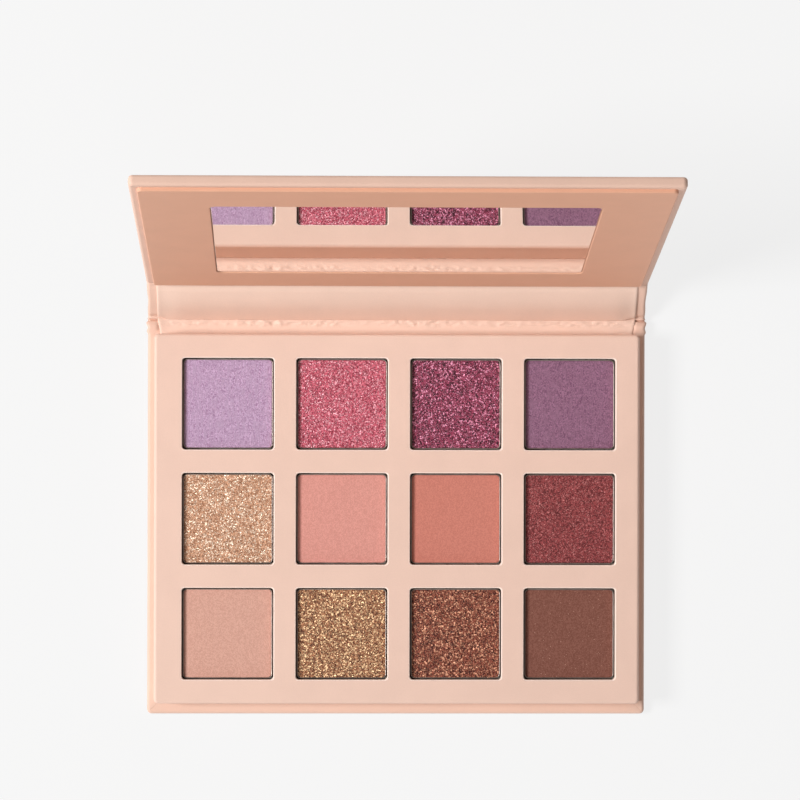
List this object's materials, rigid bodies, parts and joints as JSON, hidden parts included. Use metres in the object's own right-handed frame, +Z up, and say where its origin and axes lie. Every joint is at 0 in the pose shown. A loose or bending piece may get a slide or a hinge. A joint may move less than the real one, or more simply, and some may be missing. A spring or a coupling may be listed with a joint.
{
  "type": "eyeshadow palette",
  "caption": "Book-style card eyeshadow palette: wrapped tray with a grid of square pressed-powder pans, spine, and a lid with a set-in mirror.",
  "frame": {"origin": "centre of the base panel's underside", "axes": "+X along the fold to the right, +Y from the front edge to the spine, +Z up; stored lying on its base with the lid open"},
  "size_m": [0.138, 0.1423, 0.1193],
  "materials": {
    "greyboard": "matte",
    "cover_paper": "matte",
    "lining_paper": "matte",
    "tray_card": "matte",
    "tray_paper": "matte",
    "panel_paper": "matte",
    "pan_steel": "satin",
    "glue": "satin",
    "tape": "satin",
    "mirror_glass": "polished",
    "mirror_backing": "matte",
    "magnet": "satin",
    "powder_r1c1": "matte",
    "powder_r1c2": "matte",
    "powder_r1c3": "matte",
    "powder_r1c4": "matte",
    "powder_r2c1": "matte",
    "powder_r2c2": "matte",
    "powder_r2c3": "matte",
    "powder_r2c4": "matte",
    "powder_r3c1": "matte",
    "powder_r3c2": "matte",
    "powder_r3c3": "matte",
    "powder_r3c4": "matte"
  },
  "bodies": {
    "base": {"base_board": "greyboard", "base_wrap": "cover_paper", "base_lining": "lining_paper", "tray_base_layer": "tray_card", "tray_frame": "tray_card", "face_card": "tray_card", "tray_wrap": "tray_paper", "pan_glue": "glue", "base_magnets": "magnet", "base_joint_paper": "cover_paper", "base_joint_lining": "lining_paper", "pan_r1c1": "pan_steel", "pan_r1c2": "pan_steel", "pan_r1c3": "pan_steel", "pan_r1c4": "pan_steel", "pan_r2c1": "pan_steel", "pan_r2c2": "pan_steel", "pan_r2c3": "pan_steel", "pan_r2c4": "pan_steel", "pan_r3c1": "pan_steel", "pan_r3c2": "pan_steel", "pan_r3c3": "pan_steel", "pan_r3c4": "pan_steel", "powder_r1c1": "powder_r1c1", "powder_r1c2": "powder_r1c2", "powder_r1c3": "powder_r1c3", "powder_r1c4": "powder_r1c4", "powder_r2c1": "powder_r2c1", "powder_r2c2": "powder_r2c2", "powder_r2c3": "powder_r2c3", "powder_r2c4": "powder_r2c4", "powder_r3c1": "powder_r3c1", "powder_r3c2": "powder_r3c2", "powder_r3c3": "powder_r3c3", "powder_r3c4": "powder_r3c4"},
    "spine": {"spine_board": "greyboard", "spine_wrap": "cover_paper", "spine_lining": "lining_paper", "lid_joint_paper": "cover_paper", "lid_joint_lining": "lining_paper"},
    "lid": {"lid_board": "greyboard", "lid_wrap": "cover_paper", "lid_magnets": "magnet", "lid_panel_card": "tray_card", "lid_panel_facing": "panel_paper", "mirror_tape": "tape", "mirror_backing": "mirror_backing", "mirror_glass": "mirror_glass"}
  },
  "joints": [
    {"name": "spine_fold", "type": "hinge", "parent": "base", "child": "spine", "pos_m": [0, 0.0563, 0], "axis": [1, 0, 0], "range_deg": [-44, 46], "deforming": ["base_joint_paper", "base_joint_lining"]},
    {"name": "lid_fold", "type": "hinge", "parent": "spine", "child": "lid", "pos_m": [0, 0.06702, 0.01035], "axis": [1, 0, 0], "range_deg": [-35, 55], "deforming": ["lid_joint_paper", "lid_joint_lining"]}
  ]
}
